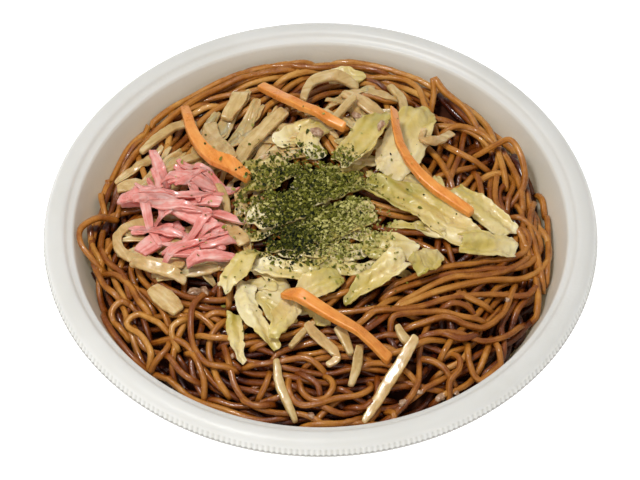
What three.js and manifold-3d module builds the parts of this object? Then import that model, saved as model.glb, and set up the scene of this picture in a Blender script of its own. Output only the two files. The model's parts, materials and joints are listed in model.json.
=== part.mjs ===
// Yakisoba in a round foam bowl: fried noodles under cabbage, bean sprouts, onion, carrot and red
// pickled ginger. Millimetres, +Z up, origin on the floor under the bowl's centre, the front at -Y.
import * as THREE from "three";
import { mergeVertices } from "three/addons/utils/BufferGeometryUtils.js";
import Module from "manifold-3d";

const wasm = await Module();
wasm.setup();

// Bowl: a thermoformed foam dish, with a step for the lid and a domed flange that turns down.
const RIM_Z = 38; // height of the flange's top
const LIP_RADIUS = 90; // outer edge of the bowl
const FLANGE_RADIUS = 84; // inner edge of the flange
const STEP_RADIUS = 82; // the step that the lid sits in
const MOUTH_RADIUS = 80.2; // top of the food side of the wall
const FLOOR_RADIUS = 54; // flat part of the floor
const FOAM = 2.2; // thickness of the foam
const BOWL_SEGMENTS = 60;

// Noodle heap: it touches the wall FILL_DROP under the rim and swells above the rim in the middle.
const STRAND = 2; // thickness of one noodle
const FILL_DROP = 11;
const FILL_RADIUS = 76.5;
const CROWN = 2.5; // height of the middle above the rim
const CROWN_POWER = 3; // how flat the middle is against the fall at the edge
const FAR_RISE = 3.6; // the heap is pushed up the wall by this much at the far side
const RELIEF = 1.1; // half the height of the lumps in the heap
// The heap gives way under the toppings: x, y, radius and depth.
const HOLLOWS = [
  [-46, 8, 30, 5.5],
  [-34, 36, 24, 4],
  [26, 26, 26, 3],
  [-12, -32, 24, 2.5],
];
const HEAP_SEGMENTS = 48;
const HEAP_RINGS = 11;

// Toppings are laid one after another on what is already there.
const GAP = 0.3; // kept between solids
const CELL = 0.5; // size of a square of the height map
const DRAPE_ROUNDS = 8;
const LEVELLING = 0.6; // how much a ribbon stays level across its width

const COLOURS = {
  foam: { color: 0xe9e8e2, roughness: 0.55 },
  noodle: { color: 0x9a5a20, roughness: 0.35 },
  carrot: { color: 0xe8863a, roughness: 0.4 },
  ginger: { color: 0xe5797c, roughness: 0.35 },
  onion: { color: 0xd8c69a, roughness: 0.3 },
  sprout: { color: 0xd9cd9c, roughness: 0.3 },
  cabbage: { color: 0xd5cd86, roughness: 0.4 },
};
const materials = Object.fromEntries(
  Object.entries(COLOURS).map(([name, look]) => [
    name,
    new THREE.MeshStandardMaterial({ metalness: 0, ...look }),
  ]),
);

const food = new THREE.Group();

function addPiece(name, geometry, material) {
  const mesh = new THREE.Mesh(geometry, materials[material]);
  mesh.name = name;
  food.add(mesh);
}

// ---------------------------------------------------------------- bowl

// The wall's food side from the floor to the mouth, moved outwards by the given distance.
function wallProfile(out) {
  const wall = [
    [FLOOR_RADIUS, FOAM],
    [62.5, 4.6],
    [68, 10.5],
    [FILL_RADIUS, RIM_Z - FILL_DROP],
    [MOUTH_RADIUS - 0.5, RIM_Z - 3.2],
  ];
  const curve = new THREE.SplineCurve(wall.map(([r, z]) => new THREE.Vector2(r, z)));
  const steps = 7;
  return Array.from({ length: steps + 1 }, (_, i) => {
    const across = curve.getTangent(i / steps);
    return curve.getPoint(i / steps).add(new THREE.Vector2(across.y, -across.x).multiplyScalar(out));
  });
}

function bowlGeometry() {
  const rim = [
    [MOUTH_RADIUS, RIM_Z - 2.1],
    [STEP_RADIUS - 0.2, RIM_Z - 1.7],
    [STEP_RADIUS + 1.1, RIM_Z - 0.35],
    [FLANGE_RADIUS + 0.3, RIM_Z],
    [FLANGE_RADIUS + 2.6, RIM_Z - 0.25],
    [FLANGE_RADIUS + 4, RIM_Z - 1.1],
    [LIP_RADIUS - 1.2, RIM_Z - 2.4],
    [LIP_RADIUS, RIM_Z - 4.3],
    [LIP_RADIUS - 0.2, RIM_Z - 5],
    [LIP_RADIUS - 1.2, RIM_Z - 5],
    [LIP_RADIUS - 2.6, RIM_Z - 3.1],
    [FLANGE_RADIUS + 0.3, RIM_Z - 2],
    [STEP_RADIUS + 0.4, RIM_Z - 3.8],
  ].map(([r, z]) => new THREE.Vector2(r, z));
  const foodSide = wallProfile(0);
  const outside = wallProfile(FOAM).reverse();
  outside[outside.length - 1].y = 0; // the underside of the floor is flat
  const profile = [new THREE.Vector2(0, FOAM), ...foodSide, ...rim, ...outside, new THREE.Vector2(0, 0)];
  return new THREE.LatheGeometry(profile.reverse(), BOWL_SEGMENTS);
}

// ---------------------------------------------------------------- heap of noodles

// Height of the smooth mound at a distance from the middle.
function mound(radius) {
  const share = Math.min(1, radius / FILL_RADIUS);
  return RIM_Z + CROWN - (CROWN + FILL_DROP) * share ** CROWN_POWER;
}

// How far the heap gives way at (x, y).
function hollow(x, y) {
  const depths = HOLLOWS.map(([cx, cy, radius, depth]) => {
    const share = Math.min(1, Math.hypot(x - cx, y - cy) / radius);
    return depth * (1 - share ** 2) ** 2;
  });
  return Math.max(...depths);
}

// Lumps left by bundles of strands that cross each other.
function lumps(x, y) {
  return Math.sin(0.31 * x + 1.7 * Math.sin(0.09 * y)) * Math.sin(0.27 * y + 1.3 * Math.sin(0.12 * x));
}

function heapGeometry() {
  const under = wallProfile(-GAP).filter((p) => p.y < RIM_Z - FILL_DROP);
  const edge = FILL_RADIUS - GAP - 0.3;
  const rings = Array.from({ length: HEAP_RINGS + 1 }, (_, i) => {
    const radius = edge * Math.cos((Math.PI / 2) * (i / HEAP_RINGS));
    return new THREE.Vector2(radius, mound(radius));
  });
  rings[HEAP_RINGS].x = 0;
  const geometry = new THREE.LatheGeometry([new THREE.Vector2(0, FOAM + GAP), ...under, ...rings], HEAP_SEGMENTS);
  geometry.deleteAttribute("normal");
  geometry.deleteAttribute("uv");
  const place = geometry.attributes.position;
  for (let i = 0; i < place.count; i++) {
    // LatheGeometry turns its profile about Y, so the height is in y here.
    const [x, z, y] = [place.getX(i), place.getY(i), -place.getZ(i)];
    if (z < RIM_Z - FILL_DROP - 1) continue;
    const out = Math.hypot(x, y) / edge;
    const far = Math.max(0, y / edge) ** 2;
    const scallop = 0.018 * (1 + Math.sin(5 * Math.atan2(y, x) + 1)) * (1 - far);
    const spread = 1 + (0.016 * far - scallop) * out ** 6;
    const lift = FAR_RISE * far + (RELIEF * lumps(x, y) - hollow(x, y)) * (1 - out ** 8);
    place.setXYZ(i, x * spread, z + lift, -y * spread);
  }
  return geometry;
}

// Strands that stand clear of the heap, each through points [x, y, height over the rim].
const LOOSE_LOOPS = [
  [[50, 33, -6], [58, 34, 0], [62.5, 33.5, 2.5], [66, 27, 0.5], [66.5, 20, -4], [61, 13, -9]],
  [[36, 50, -8], [37.5, 56, -1], [37.5, 60, 3], [41, 56, 1], [49, 49, -2], [55, 38, -8]],
  [[-66, 8, -8], [-72, 6, -4], [-77.5, 1, -3], [-77.5, -5, -3.5], [-73.5, -10, -6], [-68, -13, -12]],
];

function loopGeometry(points) {
  const path = new THREE.CatmullRomCurve3(points.map(([x, y, z]) => new THREE.Vector3(x, y, RIM_Z + z)));
  const sides = 7;
  const section = new THREE.Shape(
    Array.from({ length: sides }, (_, i) => {
      const turn = (2 * Math.PI * i) / sides;
      return new THREE.Vector2((STRAND / 2) * Math.cos(turn), (STRAND / 2) * Math.sin(turn));
    }),
  );
  return new THREE.ExtrudeGeometry(section, { steps: 14, bevelEnabled: false, extrudePath: path });
}

function toSolid(geometry) {
  const bare = geometry.clone();
  bare.deleteAttribute("normal");
  bare.deleteAttribute("uv");
  const merged = mergeVertices(bare, 1e-3);
  return new wasm.Manifold(
    new wasm.Mesh({
      numProp: 3,
      vertProperties: new Float32Array(merged.attributes.position.array),
      triVerts: new Uint32Array(merged.index.array),
    }),
  );
}

function toGeometry(solid) {
  const mesh = solid.getMesh();
  return new THREE.BufferGeometry()
    .setAttribute("position", new THREE.BufferAttribute(new Float32Array(mesh.vertProperties), 3))
    .setIndex(new THREE.BufferAttribute(new Uint32Array(mesh.triVerts), 1));
}

// ---------------------------------------------------------------- height map

// The height of what lies on each square of the floor plan; every laid piece raises it.
const cells = Math.ceil(LIP_RADIUS / CELL);
const heightMap = new Float32Array((2 * cells + 2) ** 2).fill(FOAM);

// Indices of the four squares around (x, y).
function squaresAround(x, y) {
  const row = 2 * cells + 2;
  const corner = (Math.floor(y / CELL) + cells) * row + Math.floor(x / CELL) + cells;
  return [corner, corner + 1, corner + row, corner + row + 1];
}

// Calls visit(point, shares) all over a triangle, shares being the weights of its three corners.
function sampleTriangle(corners, spacing, visit) {
  const [a, b, c] = corners;
  const count = Math.ceil(Math.max(a.distanceTo(b), b.distanceTo(c), c.distanceTo(a)) / spacing);
  const point = new THREE.Vector3();
  for (let i = 0; i <= count; i++)
    for (let j = 0; i + j <= count; j++) {
      const shares = [i / count, j / count, (count - i - j) / count];
      point.set(0, 0, 0);
      corners.forEach((corner, k) => point.addScaledVector(corner, shares[k]));
      visit(point, shares);
    }
}

function raiseMap(geometry) {
  const place = geometry.attributes.position;
  const order = geometry.index;
  for (let k = 0; k < order.count; k += 3) {
    const corners = [0, 1, 2].map((c) => new THREE.Vector3().fromBufferAttribute(place, order.getX(k + c)));
    sampleTriangle(corners, CELL, (point) => {
      for (const square of squaresAround(point.x, point.y))
        heightMap[square] = Math.max(heightMap[square], point.z);
    });
  }
}

function ground(x, y) {
  return Math.max(...squaresAround(x, y).map((square) => heightMap[square]));
}

// Lifts a sheet of points until no part of it is in the ground. Where it would be, the corners of
// that spot are raised by their share in it.
function liftClear(grid) {
  for (let round = 0; round < DRAPE_ROUNDS; round++)
    for (let i = 1; i < grid.length; i++)
      for (let j = 1; j < grid[0].length; j++) {
        const [a, b, c, d] = [grid[i - 1][j - 1], grid[i][j - 1], grid[i][j], grid[i - 1][j]];
        for (const corners of [[a, b, c], [a, c, d]])
          sampleTriangle(corners, 2 * CELL, (point, shares) => {
            const depth = ground(point.x, point.y) + GAP - point.z;
            const total = shares[0] ** 2 + shares[1] ** 2 + shares[2] ** 2;
            if (depth > 0) corners.forEach((p, k) => (p.z += (depth * shares[k]) / total));
          });
      }
}

// ---------------------------------------------------------------- toppings

// A ribbon of food through [x, y] points, draped on what is already there. widths are at its start,
// middle and end; stiff is how many rounds of smoothing let it bridge hollows; curl lifts its long
// edges, and ragged makes them uneven.
function ribbonGeometry({ path, widths, thick, along, across, stiff, curl = 0, ragged = 0 }) {
  const curve = new THREE.CatmullRomCurve3(path.map(([x, y]) => new THREE.Vector3(x, y, 0)));
  const [startWidth, midWidth, endWidth] = widths;
  const grid = Array.from({ length: along + 1 }, (_, i) => {
    const t = i / along;
    const heading = curve.getTangentAt(t);
    const side = new THREE.Vector3(-heading.y, heading.x, 0);
    const width = startWidth * (1 - t) * (1 - 2 * t) + 4 * midWidth * t * (1 - t) + endWidth * t * (2 * t - 1);
    return Array.from({ length: across + 1 }, (_, j) => {
      const v = (2 * j) / across - 1;
      const notch = 1 + ragged * Math.sin(3.1 * i + 2.3 * v + path[0][0]);
      const p = curve.getPointAt(t).addScaledVector(side, (v * notch * width) / 2);
      p.addScaledVector(heading, 2 * ragged * width * Math.sin(2.7 * v + path[0][1]));
      p.z = ground(p.x, p.y) + GAP;
      return p;
    });
  });
  liftClear(grid);
  for (const row of grid) {
    const top = Math.max(...row.map((p) => p.z));
    for (const p of row) p.z += LEVELLING * (top - p.z);
  }
  for (let round = 0; round < stiff; round++)
    for (let i = 1; i < along; i++)
      grid[i].forEach((p, j) => (p.z = Math.max(p.z, (grid[i - 1][j].z + grid[i + 1][j].z) / 2)));
  grid.forEach((row, i) =>
    row.forEach((p, j) => (p.z += curl * ((2 * j) / across - 1) ** 2 * (0.6 + 0.4 * Math.sin(1.9 * i)))),
  );
  liftClear(grid);
  return closedSheet(grid, thick);
}

// A closed body between a grid of points and the same grid raised by a thickness.
function closedSheet(grid, thick) {
  const rows = grid.length;
  const columns = grid[0].length;
  const points = [0, thick].flatMap((rise) => grid.flat().flatMap((p) => [p.x, p.y, p.z + rise]));
  const at = (i, j, top) => top * rows * columns + i * columns + j;
  const faces = [];
  const quad = (a, b, c, d) => faces.push(a, b, c, a, c, d);
  for (let i = 0; i < rows - 1; i++) {
    for (let j = 0; j < columns - 1; j++) {
      quad(at(i, j, 1), at(i + 1, j, 1), at(i + 1, j + 1, 1), at(i, j + 1, 1));
      quad(at(i, j, 0), at(i, j + 1, 0), at(i + 1, j + 1, 0), at(i + 1, j, 0));
    }
    const last = columns - 1;
    quad(at(i, 0, 0), at(i + 1, 0, 0), at(i + 1, 0, 1), at(i, 0, 1));
    quad(at(i, last, 0), at(i, last, 1), at(i + 1, last, 1), at(i + 1, last, 0));
  }
  for (let j = 0; j < columns - 1; j++) {
    const end = rows - 1;
    quad(at(0, j, 0), at(0, j, 1), at(0, j + 1, 1), at(0, j + 1, 0));
    quad(at(end, j, 0), at(end, j + 1, 0), at(end, j + 1, 1), at(end, j, 1));
  }
  return new THREE.BufferGeometry()
    .setAttribute("position", new THREE.Float32BufferAttribute(points, 3))
    .setIndex(faces);
}

const kinds = {
  carrot: { thick: 2.7, along: 7, across: 1, stiff: 40 },
  ginger: { thick: 1.5, along: 6, across: 1, stiff: 8 },
  onion: { thick: 1.4, along: 8, across: 1, stiff: 4 },
  sprout: { thick: 1.9, along: 6, across: 1, stiff: 12 },
  stalk: { thick: 1.8, along: 5, across: 2, stiff: 6, curl: 0.5 },
  cabbage: { thick: 0.9, along: 5, across: 3, stiff: 3, curl: 0.9, ragged: 0.07 },
};

// Every topping from the lowest to the topmost: kind, path, widths, and what differs from its kind.
const toppings = [
  // Over the far half of the heap
  ["cabbage", [[3, 64], [8, 65], [14, 63]], [5, 7, 6]],
  ["stalk", [[-27, 58], [-28, 52], [-31, 46]], [5.5, 5, 4]],
  ["sprout", [[-6, 52], [-3, 59], [5, 61], [13, 58]], [2.6, 3.2, 2.4]],
  ["onion", [[7, 55], [15, 50], [23, 41]], [3, 5, 3.5]],
  ["sprout", [[11, 51], [7, 45], [3, 38]], [2.2, 2.8, 2.2]],
  ["sprout", [[23, 61], [27, 55], [28, 43]], [2.4, 3, 2.6]],
  ["sprout", [[-59, 33], [-54, 40], [-47, 45], [-41, 45]], [2.2, 3.4, 2.6]],
  ["sprout", [[-53, 23], [-46, 28], [-38, 31]], [3, 3.4, 2.6]],
  ["cabbage", [[-14, 31], [-8, 36], [-1, 38]], [7, 8, 6]],
  ["stalk", [[-11, 47], [-19, 38], [-25, 29], [-27, 19]], [4, 5, 3.6]],
  ["stalk", [[-36, 45], [-35, 34], [-29, 20]], [5, 6.5, 5.5]],
  ["sprout", [[-40, 26], [-38, 19], [-35, 12]], [2.6, 3, 2.2]],
  ["sprout", [[-34, 16], [-32, 11], [-30, 4]], [2.4, 2.8, 2]],
  ["cabbage", [[1, 38], [-4, 31], [-1, 25]], [4, 8, 7]],
  // In the middle, under the green laver
  ["cabbage", [[-26, 14], [-17, 17], [-8, 20]], [9, 12, 8]],
  ["cabbage", [[-6, 8], [4, 14], [14, 17]], [10, 13, 9]],
  ["cabbage", [[-22, -2], [-14, 2], [-6, 4]], [9, 12, 10]],
  ["cabbage", [[0, -6], [8, -1], [17, 4]], [8, 12, 9]],
  // Over the right half
  ["cabbage", [[36, 50], [29, 36], [22, 19]], [5, 15, 9], { curl: 0.8 }],
  ["cabbage", [[21, 43], [14, 31], [6, 20]], [6, 11, 7], { curl: 2.4 }],
  ["onion", [[34, 38], [33, 33], [37, 32], [44, 39]], [2, 2.6, 3]],
  ["cabbage", [[43, 13], [50, 8], [62, -2]], [8, 9, 8]],
  ["cabbage", [[14, 13], [31, 7], [49, -8]], [5, 13, 9], { along: 7, curl: 2.2 }],
  ["cabbage", [[45, -12], [54, -10], [63, -8]], [8, 9, 8], { curl: 0.6 }],
  // Around and under the ginger
  ["onion", [[-52, 4], [-62, 4], [-66, -4], [-60, -12], [-44, -18]], [4, 3.4, 3.6]],
  ["onion", [[-38, -1], [-29, -4], [-24, -11]], [4, 6, 4]],
  ["onion", [[-61, -15], [-52, -19], [-43, -24]], [2.4, 4, 3]],
  ["onion", [[-67, 20], [-62, 21], [-56, 18]], [3.4, 5, 3.5]],
  ["ginger", [[-49, -14], [-39, -15], [-29, -10]], [3, 3.8, 3]],
  ["ginger", [[-43, -19], [-36, -18], [-27, -17]], [2.4, 3.2, 2.4]],
  ["ginger", [[-45, 2], [-52, -3], [-58, -9]], [5, 6.2, 5]],
  ["ginger", [[-43, 7], [-35, 3], [-25, -3]], [3.6, 4, 1.6]],
  ["ginger", [[-65, 15], [-51, 11], [-32, 6]], [4.4, 6, 4]],
  ["ginger", [[-49, 14.5], [-43, 16], [-37, 18]], [3.4, 5.4, 4.6]],
  ["ginger", [[-56, 33], [-54, 25], [-51, 17]], [2.2, 3.6, 4.4]],
  ["ginger", [[-66, 13], [-50, 6], [-31, -7]], [3, 4, 3]],
  // Over the near half
  ["onion", [[-54, -24], [-50, -29], [-45, -35]], [4, 7, 4], { across: 2, along: 5 }],
  ["cabbage", [[14, -14], [22, -12], [31, -14]], [8, 11, 5]],
  ["cabbage", [[-22, -19], [-11, -21], [-1, -23]], [5, 7, 6]],
  ["sprout", [[24, -42], [26, -46], [30, -49]], [2, 3, 1.8]],
  ["sprout", [[-2, -41], [-6, -45], [-10, -50]], [1.8, 2.6, 1.8]],
  ["onion", [[-4, -44], [2, -49], [6, -53], [2, -56]], [3, 3.4, 1.6]],
  ["sprout", [[5, -43], [8, -48], [10, -52]], [3.4, 3, 2]],
  ["sprout", [[13, -49], [11, -56], [9, -63]], [1.6, 3, 1.8]],
  ["sprout", [[-14, -54], [-12, -64], [-8, -74]], [2, 3, 1.6]],
  ["onion", [[30, -48], [24, -58], [14, -73]], [2.4, 4, 2]],
  ["cabbage", [[-27, -36], [-27, -45], [-25, -54]], [6, 5.5, 2], { curl: 1 }],
  ["cabbage", [[-24, -26], [-23, -37], [-14, -50]], [6, 7, 2.5], { along: 6, curl: 1.2 }],
  ["cabbage", [[-21, -13], [-25, -21], [-31, -30]], [4, 7, 6]],
  ["cabbage", [[-8, -33], [-12, -40], [-15, -49]], [8, 7, 2.5], { curl: 0.8 }],
  ["cabbage", [[27, -18], [18, -25], [8, -33]], [8, 8, 3], { along: 6, curl: 1 }],
  ["cabbage", [[-7, -31], [0, -28], [7, -24]], [6, 10, 5], { curl: 0.6 }],
  ["cabbage", [[38, -13], [34, -19], [30, -25]], [6, 7.5, 5], { curl: 0.6 }],
  // Carrot on top of everything
  ["carrot", [[-45, 53], [-41, 33], [-34, 20], [-23, 13]], [2.8, 3.6, 3.2]],
  ["carrot", [[-20, 60], [-8, 45], [8, 34]], [3, 3.4, 2.4]],
  ["carrot", [[24, 39], [26, 25], [35, 11], [49, 1]], [2.6, 3.4, 3]],
  ["carrot", [[-12, -31], [5, -43], [22, -54]], [3.6, 4, 3.6]],
];

// ---------------------------------------------------------------- assembly

// LatheGeometry stands its axis along Y.
addPiece("bowl", bowlGeometry().rotateX(Math.PI / 2), "foam");

const loops = LOOSE_LOOPS.map((points) => toSolid(loopGeometry(points)));
const heap = toSolid(heapGeometry().rotateX(Math.PI / 2));
const noodles = toGeometry(loops.reduce((sum, loop) => sum.add(loop), heap));
addPiece("noodles", noodles, "noodle");
raiseMap(noodles);

const counts = {};
for (const [kind, path, widths, differs] of toppings) {
  counts[kind] = (counts[kind] ?? 0) + 1;
  const geometry = ribbonGeometry({ path, widths, ...kinds[kind], ...differs });
  addPiece(`${kind}_${counts[kind]}`, geometry, kind === "stalk" ? "cabbage" : kind);
  raiseMap(geometry);
}

export default food;
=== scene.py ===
"""Yakisoba in a round foam bowl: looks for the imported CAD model, in the model's own frame, in metres."""

import json
import math
import random

import bmesh
import bpy
import numpy as np
from mathutils import Matrix, Vector, noise
from mathutils.bvhtree import BVHTree

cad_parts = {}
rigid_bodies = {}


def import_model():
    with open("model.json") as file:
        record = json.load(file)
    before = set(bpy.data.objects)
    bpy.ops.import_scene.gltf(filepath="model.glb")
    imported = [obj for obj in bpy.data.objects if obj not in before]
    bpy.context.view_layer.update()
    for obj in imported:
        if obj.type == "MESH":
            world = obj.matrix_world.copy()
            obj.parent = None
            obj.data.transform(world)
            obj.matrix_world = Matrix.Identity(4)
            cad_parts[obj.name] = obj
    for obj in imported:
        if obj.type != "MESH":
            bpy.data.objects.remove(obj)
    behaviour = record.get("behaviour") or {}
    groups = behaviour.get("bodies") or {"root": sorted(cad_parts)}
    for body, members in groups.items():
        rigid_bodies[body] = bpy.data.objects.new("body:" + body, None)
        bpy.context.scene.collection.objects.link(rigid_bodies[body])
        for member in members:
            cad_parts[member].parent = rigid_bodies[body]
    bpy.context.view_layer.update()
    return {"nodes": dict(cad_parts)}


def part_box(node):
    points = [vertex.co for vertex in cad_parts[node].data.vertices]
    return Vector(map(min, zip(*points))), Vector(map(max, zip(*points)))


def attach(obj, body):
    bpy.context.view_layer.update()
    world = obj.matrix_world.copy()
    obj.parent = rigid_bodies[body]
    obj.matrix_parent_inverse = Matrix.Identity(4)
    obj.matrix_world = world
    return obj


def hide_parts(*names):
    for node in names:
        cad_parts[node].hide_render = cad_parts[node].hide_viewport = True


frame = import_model()
NODES = frame["nodes"]
MM = 0.001

# Blender's noise vectors start from the clock unless they are given a seed.
NOISE_SEED = 1795132827
noise.seed_set(NOISE_SEED)

# Bowl, in millimetres, as in the CAD model.
RIM_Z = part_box("bowl")[1][2] / MM
LIP_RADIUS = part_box("bowl")[1][0] / MM
FLANGE_RADIUS = 84.0
STEP_RADIUS = 82.0
MOUTH_RADIUS = 80.2
FOAM = 2.2
FLUTES = 310  # small ribs round the lip, which the CAD model leaves out
WALL = [(54, FOAM), (62.5, 4.6), (68, 10.5), (76.5, 27), (79.7, 34.8)]  # radius and height, food side

# Noodles
STRAND = 2.0  # thickness
STRAND_SIDES = 8
STRAND_REACH = 74.2  # furthest that a strand's middle gets from the bowl's axis
STEP = 1.2  # between the sections of a strand
CORE_DEPTH = 9.0  # how far the solid core lies under the heap's surface
CELL = 0.5  # size of a square of the height map

# Rays that look for a surface start this high, in metres, well over the food.
SKY = 0.2


# ---------------------------------------------------------------- camera and stage


def add_camera():
    """Looks down at the bowl from the front."""
    elevation = math.radians(51)
    distance = 1.5
    target = Vector((-0.00016, -0.0065, RIM_Z * MM))
    data = bpy.data.cameras.new("camera")
    data.sensor_width = 36
    data.lens = 261.6
    data.clip_end = 20
    camera = bpy.data.objects.new("camera", data)
    back = Vector((0, -math.cos(elevation), math.sin(elevation)))
    camera.location = target + distance * back
    camera.rotation_euler = back.to_track_quat("Z", "Y").to_euler()
    bpy.context.scene.collection.objects.link(camera)
    bpy.context.scene.camera = camera


def add_light(name, place, size, energy):
    data = bpy.data.lights.new(name, "AREA")
    data.shape = "DISK"
    data.size = size
    data.energy = energy
    light = bpy.data.objects.new(name, data)
    light.location = place
    light.rotation_euler = (Vector(place) - Vector((0, 0, 0.03))).to_track_quat("Z", "Y").to_euler()
    bpy.context.scene.collection.objects.link(light)


def add_stage():
    """A pale floor, soft studio light and a white world."""
    mesh = bpy.data.meshes.new("floor")
    side = 3
    corners = [(-side, -side, 0), (side, -side, 0), (side, side, 0), (-side, side, 0)]
    mesh.from_pydata(corners, [], [(0, 1, 2, 3)])
    floor = bpy.data.objects.new("floor", mesh)
    floor.location.z = -0.0005
    bpy.context.scene.collection.objects.link(floor)
    material = bpy.data.materials.new("floor")
    material.use_nodes = True
    shader = material.node_tree.nodes["Principled BSDF"]
    shader.inputs["Base Color"].default_value = (0.9, 0.9, 0.9, 1)
    shader.inputs["Roughness"].default_value = 0.9
    shader.inputs["Emission Color"].default_value = (1, 1, 1, 1)
    shader.inputs["Emission Strength"].default_value = 0.75
    mesh.materials.append(material)

    world = bpy.data.worlds.new("world")
    bpy.context.scene.world = world
    world.use_nodes = True
    background = world.node_tree.nodes["Background"]
    background.inputs["Color"].default_value = (1.0, 1.0, 1.0, 1)
    background.inputs["Strength"].default_value = 0.42
    add_light("key", (-0.25, -0.12, 1.0), 0.17, 6.0)
    add_light("front", (-0.15, -0.95, 0.62), 0.5, 1.6)
    bpy.context.scene.view_settings.view_transform = "Standard"
    bpy.context.scene.view_settings.look = "None"


# ---------------------------------------------------------------- materials


class Look:
    """A node material, built up from named parts."""

    def __init__(self, name, roughness=0.4):
        self.material = bpy.data.materials.new(name)
        self.material.use_nodes = True
        self.tree = self.material.node_tree
        self.shader = self.tree.nodes["Principled BSDF"]
        self.shader.inputs["Roughness"].default_value = roughness

    def node(self, kind, **values):
        made = self.tree.nodes.new(kind)
        for key, value in values.items():
            if hasattr(made, key):
                setattr(made, key, value)
            else:
                made.inputs[key.replace("_", " ")].default_value = value
        return made

    def link(self, source, target):
        self.tree.links.new(source, target)

    def attribute(self, name):
        return self.node("ShaderNodeAttribute", attribute_name=name)

    def stretched(self, source, scale):
        """Coordinates times a scale for each axis."""
        mapping = self.node("ShaderNodeVectorMath", operation="MULTIPLY")
        self.link(source, mapping.inputs[0])
        mapping.inputs[1].default_value = scale
        return mapping.outputs[0]

    def coordinates(self):
        return self.node("ShaderNodeTexCoord").outputs["Object"]

    def noise(self, source, scale, detail=3.0, roughness=0.55):
        made = self.node("ShaderNodeTexNoise")
        made.inputs["Scale"].default_value = scale
        made.inputs["Detail"].default_value = detail
        made.inputs["Roughness"].default_value = roughness
        self.link(source, made.inputs["Vector"])
        return made.outputs["Fac"]

    def ramp(self, source, *stops):
        """A colour ramp through (position, colour) stops."""
        made = self.node("ShaderNodeValToRGB")
        ends = made.color_ramp.elements
        while len(ends) < len(stops):
            ends.new(0.5)
        for element, (position, colour) in zip(ends, stops):
            element.position = position
            element.color = (*colour, 1) if len(colour) == 3 else colour
        self.link(source, made.inputs["Fac"])
        return made.outputs["Color"]

    def math(self, operation, first, second):
        made = self.node("ShaderNodeMath", operation=operation)
        for socket, value in zip(made.inputs, (first, second)):
            if isinstance(value, (int, float)):
                socket.default_value = value
            else:
                self.link(value, socket)
        return made.outputs[0]

    def mix(self, factor, first, second, blend="MIX"):
        made = self.node("ShaderNodeMix", data_type="RGBA", blend_type=blend)
        # Sockets 6 and 7 are the two colours.
        for number, value in ((0, factor), (6, first), (7, second)):
            socket = made.inputs[number]
            if isinstance(value, (int, float)):
                socket.default_value = value
            elif isinstance(value, tuple):
                socket.default_value = (*value, 1)
            else:
                self.link(value, socket)
        return made.outputs[2]

    def colour(self, source):
        self.link(source, self.shader.inputs["Base Color"])

    def roughness(self, source, low, high):
        made = self.node("ShaderNodeMapRange")
        made.inputs["To Min"].default_value = low
        made.inputs["To Max"].default_value = high
        self.link(source, made.inputs["Value"])
        self.link(made.outputs[0], self.shader.inputs["Roughness"])

    def bump(self, source, distance, strength=1.0):
        made = self.node("ShaderNodeBump")
        made.inputs["Strength"].default_value = strength
        made.inputs["Distance"].default_value = distance
        self.link(source, made.inputs["Height"])
        self.link(made.outputs[0], self.shader.inputs["Normal"])

    def soft(self, weight, radius, scale):
        self.shader.inputs["Subsurface Weight"].default_value = weight
        self.shader.inputs["Subsurface Radius"].default_value = radius
        self.shader.inputs["Subsurface Scale"].default_value = scale

    def wet(self, weight, roughness):
        self.shader.inputs["Coat Weight"].default_value = weight
        self.shader.inputs["Coat Roughness"].default_value = roughness


def foam_look():
    look = Look("foam", 0.42)
    place = look.coordinates()
    cells = look.node("ShaderNodeTexVoronoi")
    cells.inputs["Scale"].default_value = 900
    look.link(place, cells.inputs["Vector"])
    clouds = look.noise(place, 45, 2)
    foam = look.ramp(clouds, (0.3, (0.635, 0.63, 0.60)), (0.7, (0.675, 0.67, 0.645)))
    # Painted warm bounce light from the noodles, with a little sauce tint, browns the inside of the wall.
    foam = look.mix(look.attribute("bounce_and_stain").outputs["Fac"], foam, (0.66, 0.58, 0.45))
    # Painted shade: the shade attribute mixes in dark grey, in the grooves between the lip's ribs and as
    # the shadow under the lip.
    look.colour(look.mix(look.attribute("shade").outputs["Fac"], foam, (0.20, 0.20, 0.19)))
    beads = look.math("MULTIPLY", cells.outputs["Distance"], 0.35)
    look.bump(look.math("ADD", beads, look.noise(place, 300, 2)), 0.00012, 0.5)
    look.soft(0.45, (1.0, 0.93, 0.82), 0.006)
    return look.material


def noodle_look():
    look = Look("noodle", 0.34)
    place = look.coordinates()
    run = look.attribute("run").outputs["Vector"]
    # The tone attribute holds each strand's own tone, sauce, a lift towards the far side, and painted
    # shade that darkens the strands lying deep in the heap.
    tone = look.attribute("tone").outputs["Fac"]
    patches = look.noise(place, 160, 3)
    streaks = look.noise(look.stretched(run, (120, 900, 900)), 1.0, 2)
    blend = look.math("ADD", look.math("MULTIPLY", patches, 0.55), look.math("MULTIPLY", streaks, 0.35))
    blend = look.math("ADD", blend, tone)
    colour = look.ramp(
        blend,
        (0.08, (0.06, 0.008, 0.001)),
        (0.34, (0.23, 0.055, 0.004)),
        (0.56, (0.47, 0.175, 0.021)),
        (0.86, (0.74, 0.40, 0.095)),
    )
    look.colour(colour)
    grit = look.math("ADD", look.noise(place, 1400, 3), look.math("MULTIPLY", streaks, 1.5))
    look.bump(grit, 0.00028, 0.7)
    look.roughness(look.noise(place, 900, 2), 0.16, 0.40)
    look.shader.inputs["Specular IOR Level"].default_value = 0.35
    look.wet(0.4, 0.06)
    return look.material


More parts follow.
